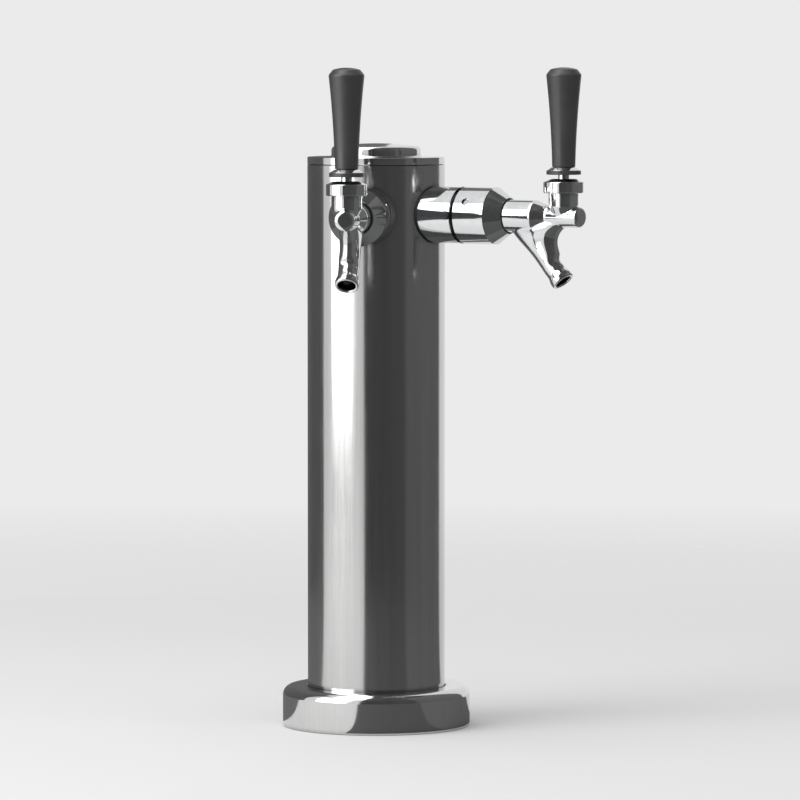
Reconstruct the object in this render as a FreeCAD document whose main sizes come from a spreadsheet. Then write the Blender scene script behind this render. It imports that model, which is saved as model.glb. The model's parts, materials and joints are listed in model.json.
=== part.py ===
"""Two-faucet beer tap tower: a parametric FreeCAD model, in millimetres.

The tower stands on z = 0 with its column's axis on +Z. Its front, where a guest stands, is towards -Y.
Everything on a faucet is drawn in that faucet's own frame: X runs outward along the shank, Z is up, and
the origin is where the shank's axis meets the column's axis.
"""
import FreeCAD
import Part
import math
import os
import Sketcher

DRIVING_SIZES = {
    # column, base and cap: radii, and heights above the counter
    "column_radius": 38.1,
    "column_wall": 1.5,
    "column_top": 311.7,
    "line_hole_radius": 30.0,
    "base_gasket_thickness": 1.6,
    "flange_radius": 48.5,
    "flange_thickness": 4.0,
    "hub_wall": 3.0,
    "hub_height": 10.0,
    "bolt_circle_radius": 43.5,
    "bolt_hole_radius": 2.75,
    "cover_radius": 52.0,
    "cover_height": 22.3,
    "cover_wall": 1.8,
    "cover_shoulder": 5.2,
    "cover_clearance": 0.4,
    "foam_inner_radius": 24.0,
    "foam_bottom": 16.0,
    "foam_top": 262.0,
    "foam_clearance": 0.3,
    "cap_seam": 0.3,
    "cap_rim_height": 4.0,
    "cap_plate": 2.4,
    "cap_skirt_depth": 9.5,
    "cap_skirt_wall": 3.6,
    "cap_skirt_clearance": 0.5,
    "button_radius": 24.8,
    "button_foot": 1.4,
    "button_side": 3.6,
    "button_shoulder": 2.4,
    "button_crown": 1.4,
    "seal_radius": 1.3,
    "seal_fit": 0.05,
    "seal_share": 0.65,
    "seal_groove_play": 0.15,
    # the faucets' places on the column
    "faucet_height": 284.6,
    "faucet_spread": 32.5,
    # stations along the shank, measured outward from the column's axis
    "stem_start": 22.0,
    "socket_end": 29.0,
    "nut_seat": 31.2,
    "cavity_start": 50.0,
    "collar_end": 56.6,
    "coupling_start": 59.0,
    "shank_end": 66.5,
    "faucet_start": 68.3,
    "flange_front": 71.95,
    "coupling_shoulder": 78.0,
    "coupling_end": 86.3,
    "barrel_taper": 103.5,
    "guide_start": 104.0,
    "barrel_front": 111.5,
    "lever_station": 120.5,
    "guide_end": 128.0,
    "barrel_end": 132.4,
    # radii along the shank
    "stem_radius": 11.1,
    "stem_clearance": 0.3,
    "thread_clearance": 0.05,
    "collar_radius": 15.6,
    "thread_radius": 13.2,
    "shank_bore": 3.2,
    "cavity_radius": 8.6,
    "saddle_gap": 0.05,
    "saddle_thickness": 1.4,
    "saddle_inset": 0.2,
    "lock_nut_flats": 28.6,
    "lock_nut_thickness": 6.6,
    "nut_corner_reach": 0.2,
    "nut_bevel_share": 0.6,
    "coupling_radius": 15.65,
    "coupling_mouth": 9.25,
    "coupling_nose": 9.9,
    "wrench_hole_radius": 2.2,
    "wrench_hole_depth": 1.1,
    "wrench_hole_station": 66.0,
    "body_flange_radius": 12.6,
    "barrel_radius": 9.0,
    "barrel_front_radius": 5.75,
    "barrel_end_arc": 2.5,
    "seat_bore": 5.2,
    "guide_bore": 4.0,
    # elbow and beer tube
    "drop_station": 15.0,
    "elbow_radius": 5.6,
    "elbow_drop": 14.0,
    "elbow_socket": 6.0,
    "tube_radius": 3.97,
    "tube_bore": 3.0,
    "tube_bottom": 10.0,
    "hose_end_radius": 4.4,
    "hose_end_length": 18.0,
    # spout, measured along its own axis from where that meets the shank's axis
    "spout_station": 91.0,
    "spout_slope": 50.0,
    "spout_length": 46.0,
    "spout_waist": 34.0,
    "spout_straight": 38.0,
    "spout_waist_radius": 5.6,
    "spout_lip": 3.0,
    "spout_lip_radius": 6.5,
    "spout_bore": 4.7,
    "spout_throat": 4.1,
    "outlet_depth": 12.5,
    # spout's root: four level ovals that blend it into the barrel, from the top one down
    "root_top_height": -3.0,
    "root_top_station": 105.5,
    "root_top_length": 18.5,
    "root_top_width": 5.6,
    "root_middle_height": -7.0,
    "root_middle_station": 103.9,
    "root_middle_length": 15.9,
    "root_middle_width": 6.5,
    "root_low_height": -12.0,
    "root_low_station": 104.2,
    "root_low_length": 12.4,
    "root_low_width": 6.0,
    "root_foot_height": -18.0,
    "root_foot_station": 107.7,
    "root_foot_length": 9.5,
    "root_foot_width": 5.65,
    # boss, bonnet and lever: heights above the shank's axis
    "boss_radius": 8.2,
    "boss_foot_radius": 4.5,
    "boss_foot": -1.0,
    "boss_shoulder": 5.4,
    "boss_top": 14.2,
    "cup_radius": 6.1,
    "cup_mid": 10.5,
    "cup_low": 7.6,
    "cup_low_radius": 4.5,
    "cup_floor": 5.7,
    "cup_floor_radius": 3.0,
    "arm_slot_width": 4.6,
    "arm_slot_back": 6.5,
    "arm_slot_front": 2.4,
    "arm_slot_top": 8.2,
    "ring_thickness": 1.3,
    "ring_outer_radius": 7.6,
    "ring_inner_radius": 5.75,
    "bonnet_bottom": 12.9,
    "bonnet_radius": 11.0,
    "bonnet_rim": 19.0,
    "bonnet_top": 20.7,
    "bonnet_mouth": 7.1,
    "bonnet_throat": 5.3,
    "bonnet_bevel": 0.5,
    "pivot_height": 12.0,
    "ball_radius": 6.0,
    "tip_height": -1.5,
    "tip_radius": 2.0,
    "arm_radius": 1.6,
    "neck_radius": 3.0,
    "washer_bottom": 23.0,
    "washer_radius": 9.4,
    "washer_thickness": 2.2,
    "collar_cone_radius": 9.2,
    "collar_cone_top": 27.0,
    "collar_cone_top_radius": 6.5,
    "stud_radius": 3.85,
    "stud_top": 46.0,
    # shaft
    "shaft_start": 62.0,
    "shaft_end": 124.5,
    "rod_radius": 2.6,
    "rod_shoulder_radius": 4.2,
    "rod_shoulder": 1.2,
    "shaft_fit": 0.05,
    "shaft_shoulder_gap": 0.1,
    "shaft_head_gap": 0.3,
    "seat_washer_radius": 6.9,
    "seat_washer_thickness": 2.15,
    "shaft_nut_flats": 9.0,
    "shaft_nut_thickness": 3.0,
    "tip_hole_clearance": 0.35,
    "shaft_flat_start": 113.5,
    "shaft_flat_height": 0.6,
    # knob
    "knob_bottom_radius": 6.3,
    "knob_top_radius": 9.6,
    "knob_side_arc": 560.0,
    "knob_shoulder": 77.1,
    "knob_crown_edge": 80.0,
    "knob_crown_radius": 7.3,
    "knob_top": 81.1,
    "knob_foot_gap": 0.05,
    "insert_radius": 5.0,
    "insert_wall": 1.1,
    "insert_top": 48.5,
    "insert_top_gap": 0.5,
}
BOLT_COUNT = 4
WRENCH_HOLE_COUNT = 3
SIDES = ("left", "right")
FAR = 90.0  # beyond every surface of a faucet, for cutting tools
CUT_MARGIN = 1.0  # how far a cutting outline runs past the face it opens
OFF_AXIS = "off axis"  # marks an arc that isn't centred on the axis it is turned about

ORIGIN_POINT = (-1, 1)  # how a sketch constraint names the sketch's origin
HORIZONTAL = -1
VERTICAL = -2


class Size:
    """A number together with the spreadsheet expression that it comes from."""

    def __init__(self, value, text):
        self.value = float(value)
        self.text = text

    @staticmethod
    def of(other):
        return other if isinstance(other, Size) else Size(other, repr(float(other)))

    def __add__(self, other):
        other = Size.of(other)
        return Size(self.value + other.value, f"({self.text} + {other.text})")

    def __sub__(self, other):
        other = Size.of(other)
        return Size(self.value - other.value, f"({self.text} - {other.text})")

    def __rsub__(self, other):
        return Size.of(other) - self

    def __mul__(self, other):
        other = Size.of(other)
        return Size(self.value * other.value, f"({self.text} * {other.text})")

    def __truediv__(self, other):
        other = Size.of(other)
        return Size(self.value / other.value, f"({self.text} / {other.text})")

    def __neg__(self):
        return Size(-self.value, f"(-1 * {self.text})")

    __radd__ = __add__
    __rmul__ = __mul__


def cosine(angle):
    return Size(math.cos(math.radians(angle.value)), f"cos({angle.text})")


def sine(angle):
    return Size(math.sin(math.radians(angle.value)), f"sin({angle.text})")


def root_of(square):
    return Size(math.sqrt(square.value), f"sqrt({square.text})")


class Sheet:
    """The driving sizes, kept in the document's spreadsheet and read back as Size values."""

    def __init__(self, doc):
        self.cells = doc.addObject("Spreadsheet::Sheet", "Sizes")
        for row, (alias, value) in enumerate(DRIVING_SIZES.items(), start=1):
            self.cells.set(f"A{row}", alias)
            self.cells.set(f"B{row}", str(value))
            self.cells.setAlias(f"B{row}", alias)
        doc.recompute()

    def __getattr__(self, alias):
        return Size(DRIVING_SIZES[alias], f"Sizes.{alias}")


def bind(item, path, size):
    """Bind one property of a document object to a size."""
    item.setExpression(path, Size.of(size).text)


# ---- sketches and features ------------------------------------------------------------------------


def origin_plane(body, role):
    return next(item for item in body.Origin.OriginFeatures if item.Role == role)


def new_sketch(body, plane):
    sketch = body.newObject("Sketcher::SketchObject", f"{body.Name}_sketch")
    sketch.AttachmentSupport = [(origin_plane(body, plane), "")]
    sketch.MapMode = "FlatFace"
    return sketch


def pin_coordinate(sketch, kind, point, size):
    """Fix one coordinate of a sketch point, on the axis itself where the size is zero."""
    if abs(size.value) < 1e-9:
        axis = VERTICAL if kind == "DistanceX" else HORIZONTAL
        sketch.addConstraint(Sketcher.Constraint("PointOnObject", *point, axis))
        return
    index = sketch.addConstraint(Sketcher.Constraint(kind, *ORIGIN_POINT, *point, size.value))
    bind(sketch, f"Constraints[{index}]", size)


def pin_point(sketch, point, across, up):
    pin_coordinate(sketch, "DistanceX", point, Size.of(across))
    pin_coordinate(sketch, "DistanceY", point, Size.of(up))


def arc_between(start, end, radius):
    """A circular arc of up to half a turn. It bulges to the left of its travel where radius is positive.

    It is always drawn counter-clockwise, as a sketch keeps its arcs, so it may start at the far end.
    """
    chord = end - start
    half = chord.Length / 2
    rise = math.sqrt(max(radius**2 - half**2, 0.0))
    left = FreeCAD.Vector(-chord.y, chord.x, 0).normalize()
    side = 1 if radius > 0 else -1
    centre = (start + end) * 0.5 - left * rise * side
    middle = centre + left * abs(radius) * side
    return Part.Arc(end, middle, start) if radius > 0 else Part.Arc(start, middle, end)


def draw_outline(sketch, points):
    """Draw a closed outline from points (across, up), with straight sides.

    A third number is the radius of an arc that arrives at the point. A fourth is where that arc's centre
    lies across, for an arc that has to be centred on the axis it is turned about.
    """
    places = [FreeCAD.Vector(Size.of(p[0]).value, Size.of(p[1]).value, 0) for p in points]
    ends = []
    for index, point in enumerate(points):
        start = places[index - 1]
        end = places[index]
        if len(point) > 2:
            radius = Size.of(point[2])
            edge = sketch.addGeometry(arc_between(start, end, radius.value), False)
            drawn = sketch.Geometry[edge]
            forward = drawn.StartPoint.distanceToPoint(start) < 1e-6
            if len(point) > 3:
                pin_coordinate(sketch, "DistanceX", (edge, 3), Size.of(point[3]))
            else:
                limit = sketch.addConstraint(Sketcher.Constraint("Radius", edge, abs(radius.value)))
                bind(sketch, f"Constraints[{limit}]", radius if radius.value > 0 else -radius)
        else:
            edge = sketch.addGeometry(Part.LineSegment(start, end), False)
            forward = True
        ends.append(((edge, 1), (edge, 2)) if forward else ((edge, 2), (edge, 1)))
    for index, point in enumerate(points):
        arriving = ends[index][1]
        leaving = ends[(index + 1) % len(points)][0]
        sketch.addConstraint(Sketcher.Constraint("Coincident", *arriving, *leaving))
        pin_point(sketch, arriving, point[0], point[1])


def crown_radius(half_width, rise):
    """Radius of the shallow dome that rises so much over so wide a circle."""
    return (half_width * half_width + rise * rise) / (rise * 2)


def draw_circle(sketch, across, up, radius):
    radius = Size.of(radius)
    centre = FreeCAD.Vector(Size.of(across).value, Size.of(up).value, 0)
    circle = sketch.addGeometry(Part.Circle(centre, FreeCAD.Vector(0, 0, 1), radius.value), False)
    limit = sketch.addConstraint(Sketcher.Constraint("Radius", circle, radius.value))
    bind(sketch, f"Constraints[{limit}]", radius)
    pin_point(sketch, (circle, 3), across, up)


def draw_oval(sketch, across, half_length, half_width):
    """An ellipse on the sketch's horizontal axis, its longer axis along it."""
    centre = FreeCAD.Vector(across.value, 0, 0)
    long_end = FreeCAD.Vector(across.value + half_length.value, 0, 0)
    short_end = FreeCAD.Vector(across.value, half_width.value, 0)
    oval = sketch.addGeometry(Part.Ellipse(long_end, short_end, centre), False)
    sketch.exposeInternalGeometry(oval)
    long_axis = oval + 1
    short_axis = oval + 2
    pin_point(sketch, (oval, 3), across, 0)
    pin_point(sketch, (long_axis, 2), across + half_length, 0)
    pin_coordinate(sketch, "DistanceY", (short_axis, 2), half_width)


def draw_axis(sketch, start, end):
    """A construction line for a turned feature to turn about."""
    places = [FreeCAD.Vector(Size.of(p[0]).value, Size.of(p[1]).value, 0) for p in (start, end)]
    line = sketch.addGeometry(Part.LineSegment(*places), True)
    pin_point(sketch, (line, 1), *start)
    pin_point(sketch, (line, 2), *end)


def turned(body, points, axis="V_Axis", cut=False):
    """Revolve an outline in the XZ plane, about a sketch axis or a line given by two points."""
    sketch = new_sketch(body, "XZ_Plane")
    if not isinstance(axis, str):
        draw_axis(sketch, *axis)
        axis = "Axis0"
    draw_outline(sketch, points)
    kind = "PartDesign::Groove" if cut else "PartDesign::Revolution"
    feature = body.newObject(kind, f"{body.Name}_turned")
    feature.Profile = sketch
    feature.ReferenceAxis = (sketch, [axis])
    feature.Angle = 360.0
    return feature


def cut_through(body, plane, draw):
    """Pocket right through the body, both ways from an origin plane."""
    sketch = new_sketch(body, plane)
    draw(sketch)
    pocket = body.newObject("PartDesign::Pocket", f"{body.Name}_pocket")
    pocket.Profile = sketch
    pocket.Type = "ThroughAll"
    pocket.Midplane = True
    return pocket


def new_body(doc, label):
    body = doc.addObject("PartDesign::Body", label)
    body.Label = label
    return body


# ---- base, column and cap -------------------------------------------------------------------------


def bolt_holes(body, s):
    reach = s.bolt_circle_radius * cosine(Size.of(180.0 / BOLT_COUNT))

    def draw(sketch):
        for quarter in range(BOLT_COUNT):
            across = reach if quarter in (0, 3) else -reach
            up = reach if quarter in (0, 1) else -reach
            draw_circle(sketch, across, up, s.bolt_hole_radius)

    cut_through(body, "XY_Plane", draw)


def base_gasket(doc, s):
    """Rubber ring that seals the flange to the counter."""
    body = new_body(doc, "base_gasket")
    turned(body, [
        (s.line_hole_radius, 0),
        (s.flange_radius, 0),
        (s.flange_radius, s.base_gasket_thickness),
        (s.line_hole_radius, s.base_gasket_thickness),
    ])
    bolt_holes(body, s)
    return body


def mounting_flange(doc, s):
    """Steel ring with a hub that carries the column. Bolts go down through it into the counter."""
    body = new_body(doc, "mounting_flange")
    bottom = s.base_gasket_thickness
    top = bottom + s.flange_thickness
    hub = s.column_radius - s.column_wall - s.thread_clearance
    turned(body, [
        (s.line_hole_radius, bottom),
        (s.flange_radius, bottom),
        (s.flange_radius, top),
        (hub, top),
        (hub, top + s.hub_height),
        (hub - s.hub_wall, top + s.hub_height),
        (hub - s.hub_wall, top),
        (s.line_hole_radius, top),
    ])
    bolt_holes(body, s)
    return body


def base_cover(doc, s):
    """Bright loose cover that slides up the column to uncover the bolts."""
    body = new_body(doc, "base_cover")
    mouth = s.column_radius + s.cover_clearance
    inside = s.cover_height - s.cover_wall
    shoulder = s.cover_radius - s.cover_shoulder
    side = s.cover_height - s.cover_shoulder
    turned(body, [
        (s.cover_radius - s.cover_wall, 0),
        (s.cover_radius, 0),
        (s.cover_radius, side),
        (shoulder, s.cover_height, -s.cover_shoulder),
        (mouth, s.cover_height),
        (mouth, inside),
        (shoulder, inside),
        (s.cover_radius - s.cover_wall, side, s.cover_shoulder - s.cover_wall),
    ])
    return body


def cylinder(doc, name, radius, length, base_height):
    tool = doc.addObject("Part::Cylinder", name)
    bind(tool, "Radius", radius)
    bind(tool, "Height", length)
    bind(tool, "Placement.Base.z", base_height)
    return tool


def cut_of(doc, name, base, tool):
    cut = doc.addObject("Part::Cut", name)
    cut.Base = base
    cut.Tool = tool
    return cut


def column_tube(doc, s):
    """Stainless tube with a round hole for each shank."""
    bottom = s.base_gasket_thickness + s.flange_thickness
    length = s.column_top - bottom
    outside = cylinder(doc, "column_outside", s.column_radius, length, bottom)
    inside = cylinder(doc, "column_inside", s.column_radius - s.column_wall, length, bottom)
    tube = cut_of(doc, "column_plain", outside, inside)
    for side in SIDES:
        hole = cylinder(doc, f"column_hole_{side}", s.stem_radius + s.stem_clearance, FAR, s.faucet_height)
        lying = FreeCAD.Rotation(FreeCAD.Vector(0, 1, 0), 90)
        turn = FreeCAD.Rotation(FreeCAD.Vector(0, 0, 1), faucet_angle(s, side).value)
        hole.Placement.Rotation = turn * lying
        tube = cut_of(doc, f"column_pierced_{side}", tube, hole)
    tube.Label = "column_tube"
    return tube


def insulation_sleeve(doc, s):
    """Foam lining that keeps the beer lines cold."""
    body = new_body(doc, "insulation_sleeve")
    outer = s.column_radius - s.column_wall - s.foam_clearance
    turned(body, [
        (s.foam_inner_radius, s.foam_bottom),
        (outer, s.foam_bottom),
        (outer, s.foam_top),
        (s.foam_inner_radius, s.foam_top),
    ])
    return body


def seal_height(s):
    return s.column_top + s.cap_seam - s.cap_skirt_depth * s.seal_share


def seal_centre_radius(s):
    return s.column_radius - s.column_wall - s.seal_fit - s.seal_radius


def top_cap(doc, s):
    """Turned cap: a rim as wide as the column, a low crowned button on it, and a skirt inside the tube."""
    body = new_body(doc, "top_cap")
    seat = s.column_top + s.cap_seam
    rim = seat + s.cap_rim_height
    skirt = s.column_radius - s.column_wall - s.cap_skirt_clearance
    skirt_bottom = seat - s.cap_skirt_depth
    groove = seal_centre_radius(s) - s.seal_radius - s.thread_clearance
    groove_half = s.seal_radius + s.seal_groove_play
    side = rim + s.button_side
    shoulder = s.button_radius - s.button_shoulder
    crown = side + s.button_shoulder
    turned(body, [
        (0, seat + s.cap_plate),
        (skirt - s.cap_skirt_wall, seat + s.cap_plate),
        (skirt - s.cap_skirt_wall, skirt_bottom),
        (skirt, skirt_bottom),
        (skirt, seal_height(s) - groove_half),
        (groove, seal_height(s) - groove_half),
        (groove, seal_height(s) + groove_half),
        (skirt, seal_height(s) + groove_half),
        (skirt, seat),
        (s.column_radius, seat),
        (s.column_radius, rim),
        (s.button_radius + s.button_foot, rim),
        (s.button_radius, rim + s.button_foot, s.button_foot),
        (s.button_radius, side),
        (shoulder, crown, -s.button_shoulder),
        (0, crown + s.button_crown, -crown_radius(shoulder, s.button_crown), 0),
    ])
    return body


def cap_seal(doc, s):
    """O-ring that holds the cap in the tube's mouth."""
    ring = doc.addObject("Part::Torus", "cap_seal")
    ring.Label = "cap_seal"
    bind(ring, "Radius1", seal_centre_radius(s))
    bind(ring, "Radius2", s.seal_radius)
    bind(ring, "Placement.Base.z", seal_height(s))
    return ring


# ---- one faucet and its shank, in the faucet's own frame ------------------------------------------


def faucet_angle(s, side):
    """Direction of a faucet's X axis, in degrees about +Z. The front is -90."""
    return s.faucet_spread - 90.0 if side == "right" else -90.0 - s.faucet_spread


def placed(body, s, side):
    """Put a piece drawn in the faucet's frame in its place on the column."""
    body.Placement.Rotation = FreeCAD.Rotation(FreeCAD.Vector(0, 0, 1), 1.0)
    bind(body, "Placement.Rotation.Angle", faucet_angle(s, side))
    bind(body, "Placement.Base.z", s.faucet_height)
    return body


def ring_along_shank(body, start, end, inner, outer):
    turned(body, [(start, inner), (start, outer), (end, outer), (end, inner)], axis="H_Axis")


def lever_axis(s):
    return ((s.lever_station, s.boss_foot), (s.lever_station, s.knob_top))


def turned_on_lever(body, s, points, cut=False):
    """Revolve about the lever's upright axis. Points are (radius, height), or (radius, height, arc radius)
    where a ball or dome arrives at them. OFF_AXIS follows the radius of an arc centred anywhere else.
    """
    moved = []
    for radius, height, *arc in points:
        if arc and arc[-1] is OFF_AXIS:
            arc.pop()
        elif arc:
            arc.append(s.lever_station)
        moved.append((s.lever_station + radius, height, *arc))
    return turned(body, moved, axis=lever_axis(s), cut=cut)


def shank_gasket(doc, s, side):
    """Thin black ring that beds the collar on the round column."""
    body = new_body(doc, f"shank_gasket_{side}")
    near = s.column_radius + s.saddle_gap
    far = near + s.saddle_thickness
    inner = s.stem_radius + s.stem_clearance
    ring_along_shank(body, s.nut_seat, s.cavity_start, inner, s.collar_radius - s.saddle_inset)
    cut_through(body, "XY_Plane", lambda sketch: draw_circle(sketch, 0, 0, near))

    def outside(sketch):
        draw_circle(sketch, 0, 0, far)
        draw_circle(sketch, 0, 0, FAR)

    cut_through(body, "XY_Plane", outside)
    return body


def shank_collar(doc, s, side):
    """Bright sleeve between the column and the coupling nut, its back end shaped to the column."""
    body = new_body(doc, f"shank_collar_{side}")
    saddle = s.column_radius + s.saddle_gap * 2 + s.saddle_thickness
    ring_along_shank(body, s.nut_seat, s.collar_end, s.stem_radius + s.thread_clearance, s.collar_radius)
    cut_through(body, "XY_Plane", lambda sketch: draw_circle(sketch, 0, 0, saddle))
    return body


def shank(doc, s, side):
    """Threaded stem through the column, with a head for the coupling nut and a bore for the beer."""
    body = new_body(doc, f"shank_{side}")
    socket = s.elbow_radius + s.thread_clearance
    turned(body, [
        (s.stem_start, socket),
        (s.stem_start, s.stem_radius),
        (s.collar_end, s.stem_radius),
        (s.collar_end, s.thread_radius),
        (s.shank_end, s.thread_radius),
        (s.shank_end, s.cavity_radius),
        (s.cavity_start, s.cavity_radius),
        (s.cavity_start, s.shank_bore),
        (s.socket_end, s.shank_bore),
        (s.socket_end, socket),
    ], axis="H_Axis")
    return body


def shank_backing_washer(doc, s, side):
    """Washer inside the column: round-backed against the tube, flat towards the lock nut."""
    body = new_body(doc, f"shank_backing_washer_{side}")
    outside_radius = s.column_radius - s.column_wall - s.saddle_gap
    ring_along_shank(body, s.nut_seat, s.column_radius, s.stem_radius + s.thread_clearance, s.collar_radius)

    def outside(sketch):
        draw_circle(sketch, 0, 0, outside_radius)
        draw_circle(sketch, 0, 0, FAR)

    cut_through(body, "XY_Plane", outside)
    return body


def hex_nut(doc, s, label, start, thickness, flats, bore):
    """A hexagon nut along the shank's axis, two flats upright, its corners bevelled at both ends."""
    body = new_body(doc, label)
    corner = flats * Size(1 / math.sqrt(3), "(1 / sqrt(3))")
    sketch = new_sketch(body, "YZ_Plane")
    bind(sketch, "AttachmentOffset.Base.z", start)
    half = corner * 0.5
    side = flats * 0.5
    draw_outline(sketch, [
        (side, half), (0, corner), (-side, half), (-side, -half), (0, -corner), (side, -half),
    ])
    draw_circle(sketch, 0, 0, bore)
    pad = body.newObject("PartDesign::Pad", f"{label}_pad")
    pad.Profile = sketch
    bind(pad, "Length", thickness)
    bevel = (corner - side) * s.nut_bevel_share
    reach = corner + s.nut_corner_reach
    for face, bevelled, beyond in (
        (start, start + bevel, start - CUT_MARGIN),
        (start + thickness, start + thickness - bevel, start + thickness + CUT_MARGIN),
    ):
        turned(body, [
            (face, side), (bevelled, reach), (beyond, reach), (beyond, side),
        ], axis="H_Axis", cut=True)
    return body


def shank_lock_nut(doc, s, side):
    """Nut inside the column that pulls the shank's head against the collar."""
    return hex_nut(doc, s, f"shank_lock_nut_{side}", s.nut_seat - s.lock_nut_thickness,
                   s.lock_nut_thickness, s.lock_nut_flats, s.stem_radius + s.thread_clearance)


def shank_elbow(doc, s, side):
    """Elbow brazed into the shank's back end. It turns the beer line down the column."""
    body = new_body(doc, f"shank_elbow_{side}")
    radius = s.elbow_radius
    drop_axis = ((s.drop_station, 0), (s.drop_station, radius))
    turned(body, [
        (s.drop_station, 0),
        (s.drop_station, radius),
        (s.socket_end, radius),
        (s.socket_end, 0),
    ], axis="H_Axis")
    turned(body, [
        (s.drop_station, -s.elbow_drop),
        (s.drop_station + radius, -s.elbow_drop),
        (s.drop_station + radius, 0),
        (s.drop_station, radius, -radius, s.drop_station),
    ], axis=drop_axis)
    turned(body, [
        (s.drop_station, 0),
        (s.drop_station, s.shank_bore),
        (s.socket_end + CUT_MARGIN, s.shank_bore),
        (s.socket_end + CUT_MARGIN, 0),
    ], axis="H_Axis", cut=True)
    tube_socket = s.tube_radius + s.thread_clearance
    turned(body, [
        (s.drop_station, -s.elbow_drop - CUT_MARGIN),
        (s.drop_station + tube_socket, -s.elbow_drop - CUT_MARGIN),
        (s.drop_station + tube_socket, -s.elbow_socket),
        (s.drop_station + s.shank_bore, -s.elbow_socket),
        (s.drop_station + s.shank_bore, 0),
        (s.drop_station, s.shank_bore, -s.shank_bore, s.drop_station),
    ], axis=drop_axis, cut=True)
    return body


def beer_tube(doc, s, side):
    """Stainless beer line from the elbow to a widened hose end just above the counter."""
    body = new_body(doc, f"beer_tube_{side}")
    top = -s.elbow_socket
    bottom = s.tube_bottom - s.faucet_height
    turned(body, [
        (s.drop_station + s.tube_bore, bottom),
        (s.drop_station + s.hose_end_radius, bottom),
        (s.drop_station + s.hose_end_radius, bottom + s.hose_end_length),
        (s.drop_station + s.tube_radius, bottom + s.hose_end_length),
        (s.drop_station + s.tube_radius, top),
        (s.drop_station + s.tube_bore, top),
    ], axis=((s.drop_station, bottom), (s.drop_station, top)))
    return body


def coupling_nut(doc, s, side):
    """Round nut that draws the faucet's flange against the shank. A pin wrench fits its holes."""
    body = new_body(doc, f"coupling_nut_{side}")
    inside = s.thread_radius + s.thread_clearance
    turned(body, [
        (s.coupling_start, inside),
        (s.coupling_start, s.coupling_radius),
        (s.coupling_shoulder, s.coupling_radius),
        (s.coupling_end, s.coupling_nose),
        (s.coupling_end, s.coupling_mouth),
        (s.flange_front + s.thread_clearance, s.coupling_mouth),
        (s.flange_front + s.thread_clearance, inside),
    ], axis="H_Axis")
    sketch = new_sketch(body, "XY_Plane")
    floor = s.coupling_radius - s.wrench_hole_depth
    bind(sketch, "AttachmentOffset.Base.z", -floor)
    draw_circle(sketch, s.wrench_hole_station, 0, s.wrench_hole_radius)
    hole = body.newObject("PartDesign::Pocket", f"{body.Name}_wrench_hole")
    hole.Profile = sketch
    hole.Type = "Length"
    bind(hole, "Length", s.coupling_radius)
    ring = body.newObject("PartDesign::PolarPattern", f"{body.Name}_wrench_holes")
    ring.Originals = [hole]
    ring.Axis = (origin_plane(body, "X_Axis"), [""])
    ring.Angle = 360.0
    ring.Occurrences = WRENCH_HOLE_COUNT
    body.Tip = ring
    return body


def faucet_gasket(doc, s, side):
    """Flat ring between the shank's end and the faucet."""
    body = new_body(doc, f"faucet_gasket_{side}")
    gap = s.thread_clearance
    ring_along_shank(body, s.shank_end + gap, s.faucet_start - gap, s.cavity_radius, s.body_flange_radius)
    return body


def spout_point(s, along, out):
    """A point in the faucet's plane, from a distance along the spout's axis and one square to it."""
    slope = s.spout_slope
    across = s.spout_station + cosine(slope) * along + sine(slope) * out
    up = -(sine(slope) * along) + cosine(slope) * out
    return (across, up)


def faucet_body(doc, s, side):
    """Cast faucet body: flange, barrel, lever boss and spout, with the beer's way through them."""
    body = new_body(doc, f"faucet_body_{side}")
    rounding = s.barrel_end_arc
    turned(body, [
        (s.faucet_start, 0),
        (s.faucet_start, s.body_flange_radius),
        (s.flange_front, s.body_flange_radius),
        (s.flange_front, s.barrel_radius),
        (s.barrel_taper, s.barrel_radius),
        (s.barrel_front, s.barrel_front_radius),
        (s.barrel_end - rounding, s.barrel_front_radius),
        (s.barrel_end, s.barrel_front_radius - rounding, rounding),
        (s.barrel_end, 0),
    ], axis="H_Axis")
    spout_root(doc, body, s)
    spout_axis = (spout_point(s, 0, 0), spout_point(s, s.spout_length, 0))
    lip = s.spout_length - s.spout_lip
    outlet = s.spout_length - s.outlet_depth
    turned(body, [
        spout_point(s, s.spout_straight, 0),
        spout_point(s, s.spout_straight, s.spout_waist_radius),
        spout_point(s, lip - s.spout_lip, s.spout_waist_radius),
        spout_point(s, lip, s.spout_lip_radius),
        spout_point(s, s.spout_length, s.spout_lip_radius),
        spout_point(s, s.spout_length, 0),
    ], axis=spout_axis)
    turned_on_lever(body, s, [
        (0, s.boss_foot),
        (s.boss_foot_radius, s.boss_foot),
        (s.boss_radius, s.boss_shoulder),
        (s.boss_radius, s.boss_top),
        (0, s.boss_top),
    ])
    turned(body, [
        (s.faucet_start - CUT_MARGIN, 0),
        (s.faucet_start - CUT_MARGIN, s.seat_bore),
        (s.guide_start, s.seat_bore),
        (s.guide_start, s.guide_bore),
        (s.guide_end, s.guide_bore),
        (s.guide_end, 0),
    ], axis="H_Axis", cut=True)
    turned(body, [
        spout_point(s, 0, 0),
        spout_point(s, 0, s.spout_throat),
        spout_point(s, outlet, s.spout_throat),
        spout_point(s, outlet, s.spout_bore),
        spout_point(s, s.spout_length + CUT_MARGIN, s.spout_bore),
        spout_point(s, s.spout_length + CUT_MARGIN, 0),
    ], axis=spout_axis, cut=True)
    turned_on_lever(body, s, [
        (0, s.cup_floor),
        (s.cup_floor_radius, s.cup_floor),
        (s.cup_low_radius, s.cup_low),
        (s.cup_radius, s.cup_mid),
        (s.cup_radius, s.boss_top + CUT_MARGIN),
        (0, s.boss_top + CUT_MARGIN),
    ], cut=True)
    arm_slot(body, s)
    return body


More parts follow.
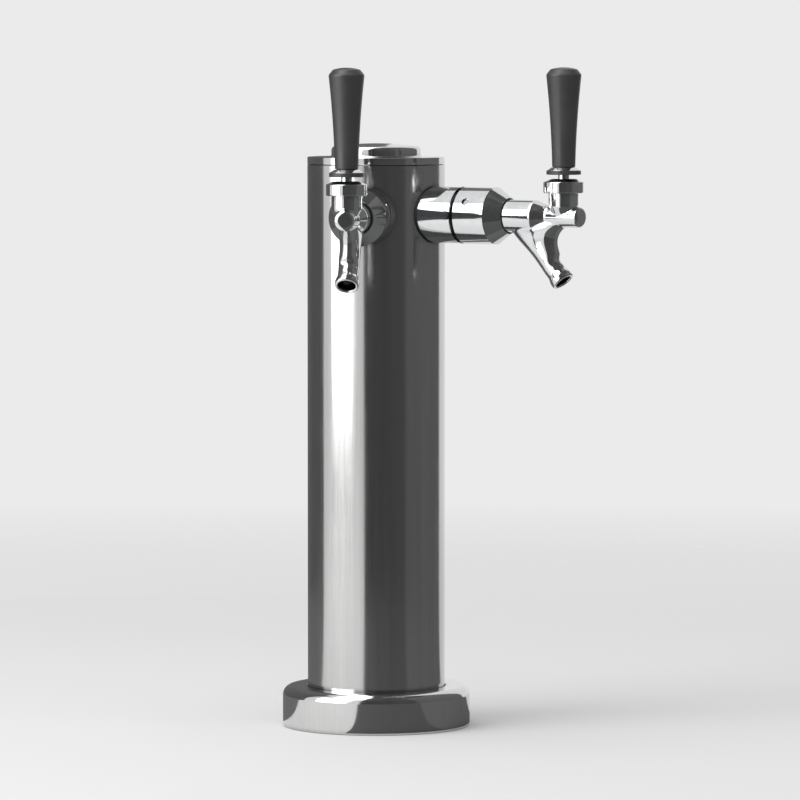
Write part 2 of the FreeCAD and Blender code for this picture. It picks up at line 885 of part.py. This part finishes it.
def spout_root(doc, body, s):
    """Loft from level ovals inside and under the barrel to two circles square to the spout's axis."""
    sections = []
    for level in ("top", "middle", "low", "foot"):
        sketch = new_sketch(body, "XY_Plane")
        bind(sketch, "AttachmentOffset.Base.z", getattr(s, f"root_{level}_height"))
        station = getattr(s, f"root_{level}_station")
        draw_oval(sketch, station, getattr(s, f"root_{level}_length"), getattr(s, f"root_{level}_width"))
        sections.append(sketch)
    for along in (s.spout_waist, s.spout_straight):
        sketch = new_sketch(body, "XY_Plane")
        across, up = spout_point(s, along, 0)
        sketch.AttachmentOffset.Rotation = FreeCAD.Rotation(FreeCAD.Vector(0, 1, 0), 1.0)
        bind(sketch, "AttachmentOffset.Rotation.Angle", s.spout_slope - 90)
        bind(sketch, "AttachmentOffset.Base.x", across)
        bind(sketch, "AttachmentOffset.Base.z", up)
        draw_circle(sketch, 0, 0, s.spout_waist_radius)
        sections.append(sketch)
    loft = body.newObject("PartDesign::AdditiveLoft", f"{body.Name}_root")
    loft.Profile = sections[0]
    loft.Sections = sections[1:]


def arm_slot(body, s):
    """Slot from the lever's cup down to the shaft, for the lever's arm."""
    sketch = new_sketch(body, "XY_Plane")
    back = s.lever_station - s.arm_slot_back
    front = s.lever_station + s.arm_slot_front
    half = s.arm_slot_width * 0.5
    draw_outline(sketch, [(back, -half), (front, -half), (front, half), (back, half)])
    pocket = body.newObject("PartDesign::Pocket", f"{body.Name}_arm_slot")
    pocket.Profile = sketch
    pocket.Type = "Length"
    pocket.Reversed = True
    bind(pocket, "Length", s.arm_slot_top)


def faucet_shaft(doc, s, side):
    """Rod that carries the seat washer, slides in the barrel and is moved by the lever's arm."""
    body = new_body(doc, f"faucet_shaft_{side}")
    head = s.guide_bore - s.shaft_fit
    shoulder = s.faucet_start + s.shaft_shoulder_gap
    turned(body, [
        (s.shaft_start, 0),
        (s.shaft_start, s.rod_radius),
        (shoulder, s.rod_radius),
        (shoulder, s.rod_shoulder_radius),
        (shoulder + s.rod_shoulder, s.rod_shoulder_radius),
        (shoulder + s.rod_shoulder, s.rod_radius),
        (s.guide_start + s.shaft_head_gap, s.rod_radius),
        (s.guide_start + s.shaft_head_gap, head),
        (s.shaft_end, head),
        (s.shaft_end, 0),
    ], axis="H_Axis")

    def flat(sketch):
        top = head + CUT_MARGIN
        draw_outline(sketch, [
            (s.shaft_flat_start, s.shaft_flat_height),
            (s.shaft_end + CUT_MARGIN, s.shaft_flat_height),
            (s.shaft_end + CUT_MARGIN, top),
            (s.shaft_flat_start, top),
        ])

    cut_through(body, "XZ_Plane", flat)
    hole = s.tip_radius + s.tip_hole_clearance
    cut_through(body, "XY_Plane", lambda sketch: draw_circle(sketch, s.lever_station, 0, hole))
    return body


def seat_washer(doc, s, side):
    """Soft washer that closes the faucet's back end."""
    body = new_body(doc, f"seat_washer_{side}")
    front = s.faucet_start - s.shaft_fit
    ring_along_shank(body, front - s.seat_washer_thickness, front,
                     s.rod_radius + s.thread_clearance, s.seat_washer_radius)
    return body


def shaft_nut(doc, s, side):
    """Small nut that holds the seat washer on the shaft."""
    end = s.faucet_start - s.shaft_fit - s.seat_washer_thickness
    return hex_nut(doc, s, f"shaft_nut_{side}", end - s.shaft_nut_thickness, s.shaft_nut_thickness,
                   s.shaft_nut_flats, s.rod_radius + s.thread_clearance)


def half_chord(radius, offset):
    """Half the chord of a circle at a distance from its centre."""
    return root_of(radius * radius - offset * offset)


def lever(doc, s, side):
    """Lever: a tip in the shaft, an arm, the pivot ball, a neck, a coned collar and the knob's stud."""
    body = new_body(doc, f"lever_{side}")
    washer_top = s.washer_bottom + s.washer_thickness
    turned_on_lever(body, s, [
        (0, s.tip_height - s.tip_radius),
        (s.arm_radius, s.tip_height + half_chord(s.tip_radius, s.arm_radius), -s.tip_radius),
        (s.arm_radius, s.pivot_height - half_chord(s.ball_radius, s.arm_radius)),
        (s.ball_radius, s.pivot_height, -s.ball_radius),
        (s.neck_radius, s.pivot_height + half_chord(s.ball_radius, s.neck_radius), -s.ball_radius),
        (s.neck_radius, washer_top),
        (s.collar_cone_radius, washer_top),
        (s.collar_cone_top_radius, s.collar_cone_top),
        (s.stud_radius, s.collar_cone_top),
        (s.stud_radius, s.stud_top),
        (0, s.stud_top),
    ])
    return body


def lever_washer(doc, s, side):
    """Black washer under the lever's collar. It keeps drips out of the bonnet."""
    body = new_body(doc, f"lever_washer_{side}")
    inner = s.neck_radius + s.thread_clearance
    top = s.washer_bottom + s.washer_thickness
    turned_on_lever(body, s, [
        (inner, s.washer_bottom), (s.washer_radius, s.washer_bottom), (s.washer_radius, top), (inner, top),
    ])
    return body


def friction_ring(doc, s, side):
    """Plastic ring that the bonnet presses on the lever's ball."""
    body = new_body(doc, f"friction_ring_{side}")
    bottom = s.boss_top
    top = bottom + s.ring_thickness
    turned_on_lever(body, s, [
        (s.ring_inner_radius, bottom), (s.ring_outer_radius, bottom),
        (s.ring_outer_radius, top), (s.ring_inner_radius, top),
    ])
    return body


def bonnet(doc, s, side):
    """Round nut on the boss that keeps the lever's ball in its cup."""
    body = new_body(doc, f"bonnet_{side}")
    inside = s.boss_radius + s.thread_clearance
    ceiling = s.boss_top + s.ring_thickness
    turned_on_lever(body, s, [
        (inside, s.bonnet_bottom),
        (s.bonnet_radius - s.bonnet_bevel, s.bonnet_bottom),
        (s.bonnet_radius, s.bonnet_bottom + s.bonnet_bevel),
        (s.bonnet_radius, s.bonnet_rim),
        (s.bonnet_mouth, s.bonnet_top),
        (s.bonnet_throat, ceiling),
        (inside, ceiling),
    ])
    return body


def tap_knob(doc, s, side):
    """Black knob with a slightly hollow side, wider at its bevelled and slightly crowned top."""
    body = new_body(doc, f"tap_knob_{side}")
    bottom = s.collar_cone_top + s.knob_foot_gap
    hole = s.insert_radius + s.thread_clearance
    hole_top = s.insert_top + s.insert_top_gap
    turned_on_lever(body, s, [
        (hole, bottom),
        (s.knob_bottom_radius, bottom),
        (s.knob_top_radius, s.knob_shoulder, s.knob_side_arc, OFF_AXIS),
        (s.knob_crown_radius, s.knob_crown_edge),
        (0, s.knob_top, -crown_radius(s.knob_crown_radius, s.knob_top - s.knob_crown_edge)),
        (0, hole_top),
        (hole, hole_top),
    ])
    return body


def knob_insert(doc, s, side):
    """Brass threaded sleeve moulded into the knob."""
    body = new_body(doc, f"knob_insert_{side}")
    bottom = s.collar_cone_top + s.knob_foot_gap
    inner = s.insert_radius - s.insert_wall
    turned_on_lever(body, s, [
        (inner, bottom), (s.insert_radius, bottom), (s.insert_radius, s.insert_top), (inner, s.insert_top),
    ])
    return body


TOWER_PIECES = (
    base_gasket, mounting_flange, base_cover, column_tube, insulation_sleeve, top_cap, cap_seal,
)
FAUCET_PIECES = (
    shank_gasket, shank_collar, shank, shank_backing_washer, shank_lock_nut, shank_elbow, beer_tube,
    coupling_nut, faucet_gasket, faucet_body, faucet_shaft, seat_washer, shaft_nut,
    lever, lever_washer, friction_ring, bonnet, tap_knob, knob_insert,
)


def check(doc, pieces):
    """Stop if any object failed, or a piece isn't one valid closed solid."""
    faults = [item.Label for item in doc.Objects if {"Invalid", "Error"} & set(item.State)]
    for piece in pieces:
        shape = piece.Shape
        if shape.isNull() or not shape.isValid() or len(shape.Solids) != 1:
            faults.append(piece.Label)
    if faults:
        raise RuntimeError(f"these failed: {faults}")


def main():
    doc = FreeCAD.newDocument("beer_tap_tower")
    s = Sheet(doc)
    pieces = [build(doc, s) for build in TOWER_PIECES]
    for side in SIDES:
        pieces += [placed(build(doc, s, side), s, side) for build in FAUCET_PIECES]
    doc.recompute()
    check(doc, pieces)
    os.makedirs("parts", exist_ok=True)
    for piece in pieces:
        piece.Shape.exportStep(f"parts/{piece.Label}.step")
        print(f"{piece.Label:30s} {piece.Shape.Volume:12.1f} mm3")


main()
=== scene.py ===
import json
import math

import bpy
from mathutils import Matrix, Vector


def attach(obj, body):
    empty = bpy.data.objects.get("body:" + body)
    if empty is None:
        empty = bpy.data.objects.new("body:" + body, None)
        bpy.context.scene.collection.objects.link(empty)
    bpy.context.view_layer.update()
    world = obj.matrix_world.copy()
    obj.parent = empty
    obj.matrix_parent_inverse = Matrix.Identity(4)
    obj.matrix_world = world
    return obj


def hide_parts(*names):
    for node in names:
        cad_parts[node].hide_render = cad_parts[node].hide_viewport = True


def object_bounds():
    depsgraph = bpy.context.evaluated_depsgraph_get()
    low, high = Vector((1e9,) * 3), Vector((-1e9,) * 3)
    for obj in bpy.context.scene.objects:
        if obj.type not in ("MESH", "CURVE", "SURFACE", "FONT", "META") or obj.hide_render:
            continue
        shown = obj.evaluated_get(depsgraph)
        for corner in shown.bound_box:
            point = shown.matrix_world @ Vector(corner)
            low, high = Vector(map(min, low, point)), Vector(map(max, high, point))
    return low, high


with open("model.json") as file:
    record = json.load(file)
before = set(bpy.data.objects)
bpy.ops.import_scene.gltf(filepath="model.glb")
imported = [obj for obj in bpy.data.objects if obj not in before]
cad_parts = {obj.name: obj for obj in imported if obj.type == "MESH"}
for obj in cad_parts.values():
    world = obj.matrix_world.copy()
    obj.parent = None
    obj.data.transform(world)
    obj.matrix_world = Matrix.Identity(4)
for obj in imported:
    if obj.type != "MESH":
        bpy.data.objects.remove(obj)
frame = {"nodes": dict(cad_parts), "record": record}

# The beer tap tower's looks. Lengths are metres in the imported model's frame: +Z up from the counter,
# -Y towards the front, origin on the column's axis.

CAD_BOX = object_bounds()
SIDES = ("left", "right")

# camera: where it stands, and the frame's height at the tower
CAMERA_PLACE = Vector((-1.2917, -2.7701, 0.3772))
VIEW_HEIGHT = 0.440
SENSOR = 36.0

# studio: directions are azimuths in degrees, 0 towards -Y and 90 towards +X
BACKDROP = 0.83
FLOOR_SHADE = 0.55
FLOOR_REACH = 1.5
FLOOR_FADE_START = 0.525
FLOOR_SIDES = 96
FLAG_DISTANCE = 0.75
FLAG_HEIGHT = 1.2
FLAG_FOOT = 0.053
FLAG_LIFT = 0.001
FLAG_ROOF_END = 0.02
FLAG_STEP = 4
LAMP_DISTANCE = 1.9
LAMP_AIM = Vector((0.0, 0.0, 0.2))

# materials
# painted shade in grooves and corners: how far its ambient occlusion reaches, and its samples
CREVICE_REACH = 0.004
CREVICE_SAMPLES = 6
SMUDGE_SCALE = 38.0
STREAK_SCALE = 170.0
RUB_SCALE = 60.0
CELL_SCALE = 900.0
CELL_DEPTH = 0.0002

# edges and castings
MERGE_DISTANCE = 1e-6
FLAT_ANGLE = math.radians(0.4)
SHARP_ANGLE = math.radians(32.0)
EDGE_SEGMENTS = 3
TOWER_EDGES = {"top_cap": 0.0003, "base_cover": 0.0003, "column_tube": 0.00025}
FAUCET_EDGES = {
    "shank_collar": 0.0004, "coupling_nut": 0.0004, "bonnet": 0.0004,
    "tap_knob": 0.0008, "lever": 0.0003, "lever_washer": 0.0003,
}
CAST_VOXEL = 0.00042
POLISH_STRENGTH = 0.5
POLISH_PASSES = 9


# ---------------------------------------------------------------- node helpers

def add(tree, kind, **sockets):
    """A shader node with some inputs set, each by its name with spaces written as underscores."""
    node = tree.nodes.new(kind)
    for name, value in sockets.items():
        node.inputs[name.replace("_", " ")].default_value = value
    return node


def join(tree, source, target):
    tree.links.new(source, target)


def new_material(name):
    """A material with nothing in it but an output, and a Principled shader on that."""
    material = bpy.data.materials.new(name)
    material.use_nodes = True
    tree = material.node_tree
    tree.nodes.clear()
    output = tree.nodes.new("ShaderNodeOutputMaterial")
    shader = tree.nodes.new("ShaderNodeBsdfPrincipled")
    join(tree, shader.outputs[0], output.inputs["Surface"])
    return material, tree, shader


def noise(tree, scale, stretch=(1.0, 1.0, 1.0), detail=3.0):
    """Noise over the object's own coordinates, in features per metre, drawn out along its small axes."""
    place = tree.nodes.new("ShaderNodeTexCoord")
    mapping = tree.nodes.new("ShaderNodeMapping")
    mapping.inputs["Scale"].default_value = stretch
    join(tree, place.outputs["Object"], mapping.inputs["Vector"])
    pattern = add(tree, "ShaderNodeTexNoise", Scale=scale, Detail=detail, Roughness=0.6)
    join(tree, mapping.outputs[0], pattern.inputs["Vector"])
    return pattern.outputs["Fac"]


def ranged(tree, value, low, high, start=0.3, end=0.7):
    """A value's middle part spread from low to high."""
    node = add(tree, "ShaderNodeMapRange", From_Min=start, From_Max=end, To_Min=low, To_Max=high)
    join(tree, value, node.inputs["Value"])
    return node.outputs[0]


def math_node(tree, operation, first, second):
    node = tree.nodes.new("ShaderNodeMath")
    node.operation = operation
    for socket, value in zip(node.inputs, (first, second)):
        if isinstance(value, float):
            socket.default_value = value
        else:
            join(tree, value, socket)
    return node.outputs[0]


def mixed(tree, factor, first, second):
    """Colour between two colours, each a triple or a socket."""
    node = tree.nodes.new("ShaderNodeMix")
    node.data_type = "RGBA"
    join(tree, factor, node.inputs["Factor"])
    for name, colour in (("A", first), ("B", second)):
        socket = next(s for s in node.inputs if s.name == name and s.type == "RGBA")
        if isinstance(colour, tuple):
            socket.default_value = (*colour, 1.0)
        else:
            join(tree, colour, socket)
    return next(s for s in node.outputs if s.type == "RGBA")


def bumped(tree, shader, height, depth):
    """Relief of the given depth in metres."""
    bump = add(tree, "ShaderNodeBump", Strength=1.0, Distance=depth)
    join(tree, height, bump.inputs["Height"])
    join(tree, bump.outputs[0], shader.inputs["Normal"])


def shade_in_crevices(tree):
    """1 on open surface, falling to 0 in narrow grooves and corners: the mask for painted shade."""
    node = add(tree, "ShaderNodeAmbientOcclusion", Distance=CREVICE_REACH)
    node.samples = CREVICE_SAMPLES
    return ranged(tree, node.outputs["AO"], 0.0, 1.0, 0.25, 0.85)


# ---------------------------------------------------------------- materials

def metal(name, colour, crevice_shade, rough, grain_scale, stretch, grain_depth, smudge=0.05, streak=0.0):
    """Bare or plated metal: grain and broad streaks drawn out one way, smudges, painted shade darkening
    its grooves and corners.
    """
    material, tree, shader = new_material(name)
    shader.inputs["Metallic"].default_value = 1.0
    grain = noise(tree, grain_scale, stretch, 4.0)
    marks = noise(tree, SMUDGE_SCALE, detail=5.0)
    dull = ranged(tree, marks, 0.0, smudge, 0.45, 0.75)
    lines = ranged(tree, grain, rough * 0.75, rough * 1.3)
    join(tree, math_node(tree, "ADD", lines, dull), shader.inputs["Roughness"])
    bands = ranged(tree, noise(tree, STREAK_SCALE, stretch, 2.0), 0.0, 1.0, 0.35, 0.65)
    streaked = mixed(tree, bands, tuple(c * (1.0 - streak) for c in colour), colour)
    tint = mixed(tree, ranged(tree, grain, 0.0, 1.0), tuple(c * 0.93 for c in colour), streaked)
    # Painted shade: the base colour darkens towards the shade colour in grooves, corners and joints
    # between parts.
    join(tree, mixed(tree, shade_in_crevices(tree), crevice_shade, tint), shader.inputs["Base Color"])
    bumped(tree, shader, grain, grain_depth)
    return material


def moulded(name, colour, worn, rough, grain_scale, grain_depth, coat=0.0):
    """Plastic or rubber: a fine moulded grain, uneven gloss, slightly paler where it is rubbed."""
    material, tree, shader = new_material(name)
    shader.inputs["Coat Weight"].default_value = coat
    shader.inputs["Coat Roughness"].default_value = 0.12
    grain = noise(tree, grain_scale, detail=4.0)
    rubs = noise(tree, RUB_SCALE, detail=4.0)
    join(tree, ranged(tree, rubs, rough * 0.8, rough * 1.25), shader.inputs["Roughness"])
    rubbed = ranged(tree, rubs, 0.0, 0.6, 0.5, 0.8)
    join(tree, mixed(tree, rubbed, colour, worn), shader.inputs["Base Color"])
    bumped(tree, shader, grain, grain_depth)
    return material


def foamed(name):
    """Closed-cell foam: dark, matt, pitted."""
    material, tree, shader = new_material(name)
    shader.inputs["Roughness"].default_value = 0.95
    cells = add(tree, "ShaderNodeTexVoronoi", Scale=CELL_SCALE)
    place = tree.nodes.new("ShaderNodeTexCoord")
    join(tree, place.outputs["Object"], cells.inputs["Vector"])
    distance = cells.outputs["Distance"]
    open_cell = ranged(tree, distance, 0.0, 1.0, 0.1, 0.6)
    shade = mixed(tree, open_cell, (0.035, 0.035, 0.04), (0.10, 0.10, 0.11))
    join(tree, shade, shader.inputs["Base Color"])
    bumped(tree, shader, distance, CELL_DEPTH)
    return material


UPRIGHT = (1.0, 1.0, 0.02)
EVEN = (1.0, 1.0, 1.0)
SHORT_GRAIN = (1.0, 1.0, 0.25)
ROLLED = (1.0, 1.0, 0.3)
# each metal's second colour is the painted shade in its grooves and corners, not dirt
MATERIALS = {
    "satin_steel": metal(
        "column_steel", colour=(0.66, 0.66, 0.655), crevice_shade=(0.20, 0.20, 0.19), rough=0.135,
        grain_scale=620.0, stretch=UPRIGHT, grain_depth=3e-6, smudge=0.03, streak=0.17),
    "polished_steel": metal(
        "polished_steel", colour=(0.74, 0.74, 0.735), crevice_shade=(0.22, 0.22, 0.21), rough=0.07,
        grain_scale=420.0, stretch=SHORT_GRAIN, grain_depth=1.5e-6),
    "chrome_plate": metal(
        "chrome_plate", colour=(0.80, 0.81, 0.82), crevice_shade=(0.18, 0.18, 0.18), rough=0.055,
        grain_scale=240.0, stretch=EVEN, grain_depth=1.2e-6),
    "plain_steel": metal(
        "plain_steel", colour=(0.52, 0.52, 0.51), crevice_shade=(0.17, 0.16, 0.15), rough=0.28,
        grain_scale=700.0, stretch=ROLLED, grain_depth=6e-6),
    "brass_raw": metal(
        "raw_brass", colour=(0.72, 0.52, 0.24), crevice_shade=(0.20, 0.13, 0.06), rough=0.26,
        grain_scale=500.0, stretch=EVEN, grain_depth=5e-6),
    "black_rubber": moulded(
        "black_rubber", colour=(0.018, 0.018, 0.018), worn=(0.04, 0.04, 0.04), rough=0.62,
        grain_scale=1500.0, grain_depth=1e-5),
    "black_plastic": moulded(
        "black_plastic", colour=(0.034, 0.034, 0.036), worn=(0.048, 0.048, 0.049), rough=0.40,
        grain_scale=1800.0, grain_depth=4e-6, coat=0.06),
    "white_plastic": moulded(
        "white_plastic", colour=(0.72, 0.72, 0.69), worn=(0.62, 0.61, 0.57), rough=0.42,
        grain_scale=1400.0, grain_depth=6e-6),
    "foam": foamed("black_foam"),
}


def dress_cad_nodes():
    """Every CAD node shows the worked material of its own slot."""
    for part in frame["record"]["subparts"]:
        for slot in frame["nodes"][part["node"]].material_slots:
            slot.material = MATERIALS[part["material_slot"]]


# ---------------------------------------------------------------- edges

def ease_edges(node, width):
    """Rounds a CAD node's sharp edges, as tumbling or moulding leaves them."""
    piece = frame["nodes"][node]
    weld = piece.modifiers.new("weld", "WELD")
    weld.merge_threshold = MERGE_DISTANCE
    flat = piece.modifiers.new("flat_faces", "DECIMATE")
    flat.decimate_type = "DISSOLVE"
    flat.angle_limit = FLAT_ANGLE
    bevel = piece.modifiers.new("edges", "BEVEL")
    bevel.width = width
    bevel.segments = EDGE_SEGMENTS
    bevel.limit_method = "ANGLE"
    bevel.angle_limit = SHARP_ANGLE
    piece.modifiers.new("normals", "WEIGHTED_NORMAL")


def cast_body(side):
    """The faucet's body with the soft inside corners of a polished casting."""
    node = frame["nodes"][f"faucet_body_{side}"]
    draft = bpy.data.objects.new(f"draft_body_{side}", node.data.copy())
    bpy.context.scene.collection.objects.link(draft)
    weld = draft.modifiers.new("weld", "WELD")
    weld.merge_threshold = MERGE_DISTANCE
    shell = draft.modifiers.new("shell", "REMESH")
    shell.mode = "VOXEL"
    shell.voxel_size = CAST_VOXEL
    shell.use_smooth_shade = True
    smooth = draft.modifiers.new("polish", "SMOOTH")
    smooth.factor = POLISH_STRENGTH
    smooth.iterations = POLISH_PASSES
    bpy.context.view_layer.update()
    graph = bpy.context.evaluated_depsgraph_get()
    mesh = bpy.data.meshes.new_from_object(draft.evaluated_get(graph))
    bpy.data.objects.remove(draft)
    mesh.materials.clear()
    mesh.materials.append(MATERIALS["chrome_plate"])
    piece = bpy.data.objects.new(f"cast_body_{side}", mesh)
    bpy.context.scene.collection.objects.link(piece)
    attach(piece, "tower")
    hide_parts(f"faucet_body_{side}")


# ---------------------------------------------------------------- studio

def toward(azimuth, distance, height):
    """A place at an azimuth round the tower."""
    angle = math.radians(azimuth)
    return Vector((math.sin(angle) * distance, -math.cos(angle) * distance, height))


def stage_material(name, shade, fade=False):
    """Matt paint for the floor and the flags. With fade it thins out to nothing at the floor's edge."""
    material, tree, shader = new_material(name)
    shader.inputs["Base Color"].default_value = (shade, shade, shade, 1.0)
    shader.inputs["Roughness"].default_value = 0.9
    shader.inputs["Specular IOR Level"].default_value = 0.1
    if fade:
        place = tree.nodes.new("ShaderNodeTexCoord")
        length = tree.nodes.new("ShaderNodeVectorMath")
        length.operation = "LENGTH"
        join(tree, place.outputs["Object"], length.inputs[0])
        thinned = ranged(tree, length.outputs["Value"], 1.0, 0.0, FLOOR_FADE_START, FLOOR_REACH)
        join(tree, thinned, shader.inputs["Alpha"])
    return material


def floor():
    """Pale round floor that fades into the backdrop."""
    mesh = bpy.data.meshes.new("floor")
    ring = [toward(360.0 * i / FLOOR_SIDES, FLOOR_REACH, 0.0) for i in range(FLOOR_SIDES)]
    mesh.from_pydata([tuple(p) for p in ring], [], [tuple(range(FLOOR_SIDES))])
    piece = bpy.data.objects.new("floor", mesh)
    mesh.materials.append(stage_material("pale_floor", FLOOR_SHADE, fade=True))
    bpy.context.scene.collection.objects.link(piece)


def flag(name, start, end, shade, roofed=False):
    """A curved card, along the floor and then upright, that only reflections see. It may have a roof."""
    steps = int((end - start) / FLAG_STEP)
    angles = [start + (end - start) * i / steps for i in range(steps + 1)]
    rows = [(FLAG_FOOT, FLAG_LIFT), (FLAG_DISTANCE, FLAG_LIFT), (FLAG_DISTANCE, FLAG_HEIGHT)]
    if roofed:
        rows.append((FLAG_ROOF_END, FLAG_HEIGHT))
    points = [toward(a, distance, height) for distance, height in rows for a in angles]
    across = steps + 1
    faces = [
        (i + row * across, i + 1 + row * across, i + 1 + (row + 1) * across, i + (row + 1) * across)
        for row in range(len(rows) - 1) for i in range(steps)
    ]
    mesh = bpy.data.meshes.new(name)
    mesh.from_pydata([tuple(p) for p in points], [], faces)
    mesh.materials.append(stage_material(name, shade))
    piece = bpy.data.objects.new(name, mesh)
    piece.visible_camera = False
    piece.visible_shadow = False
    piece.visible_diffuse = False
    bpy.context.scene.collection.objects.link(piece)


def softbox(name, azimuth, height, size, power, distance=LAMP_DISTANCE):
    """A rectangular lamp turned towards the tower."""
    lamp = bpy.data.lights.new(name, "AREA")
    lamp.shape = "RECTANGLE"
    lamp.size, lamp.size_y = size
    lamp.energy = power
    piece = bpy.data.objects.new(name, lamp)
    piece.location = toward(azimuth, distance, height)
    piece.rotation_euler = (LAMP_AIM - piece.location).to_track_quat("-Z", "Y").to_euler()
    bpy.context.scene.collection.objects.link(piece)


def studio():
    """Bright backdrop, floor and lamps, and the dark cards that give the metal its stripes."""
    bpy.context.scene.view_settings.view_transform = "Standard"
    world = bpy.data.worlds.new("studio")
    bpy.context.scene.world = world
    world.use_nodes = True
    world.node_tree.nodes["Background"].inputs["Color"].default_value = (BACKDROP, BACKDROP, BACKDROP, 1.0)
    floor()
    flag("flag_front", -45.0, 24.0, 0.065, roofed=True)
    flag("flag_right", 24.0, 104.0, 0.10, roofed=True)
    flag("flag_back_left", 154.0, 238.0, 0.11)
    softbox("key", -84.0, 0.9, (1.6, 1.8), 30.0)
    softbox("overhead", -60.0, 2.0, (1.8, 1.8), 25.0, distance=0.6)


def camera():
    """Long lens that holds the whole tower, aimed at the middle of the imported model."""
    lo, hi = CAD_BOX
    aim = Vector(((lo.x + hi.x) / 2, (lo.y + hi.y) / 2, (lo.z + hi.z) / 2))
    lens = bpy.data.cameras.new("camera")
    lens.sensor_width = SENSOR
    distance = (aim - CAMERA_PLACE).length
    lens.lens = SENSOR * distance / VIEW_HEIGHT
    piece = bpy.data.objects.new("camera", lens)
    piece.location = CAMERA_PLACE
    piece.rotation_euler = (aim - CAMERA_PLACE).to_track_quat("-Z", "Y").to_euler()
    bpy.context.scene.collection.objects.link(piece)
    bpy.context.scene.camera = piece


camera()
studio()
dress_cad_nodes()
for side in SIDES:
    cast_body(side)
    for stem, width in FAUCET_EDGES.items():
        ease_edges(f"{stem}_{side}", width)
for stem, width in TOWER_EDGES.items():
    ease_edges(stem, width)
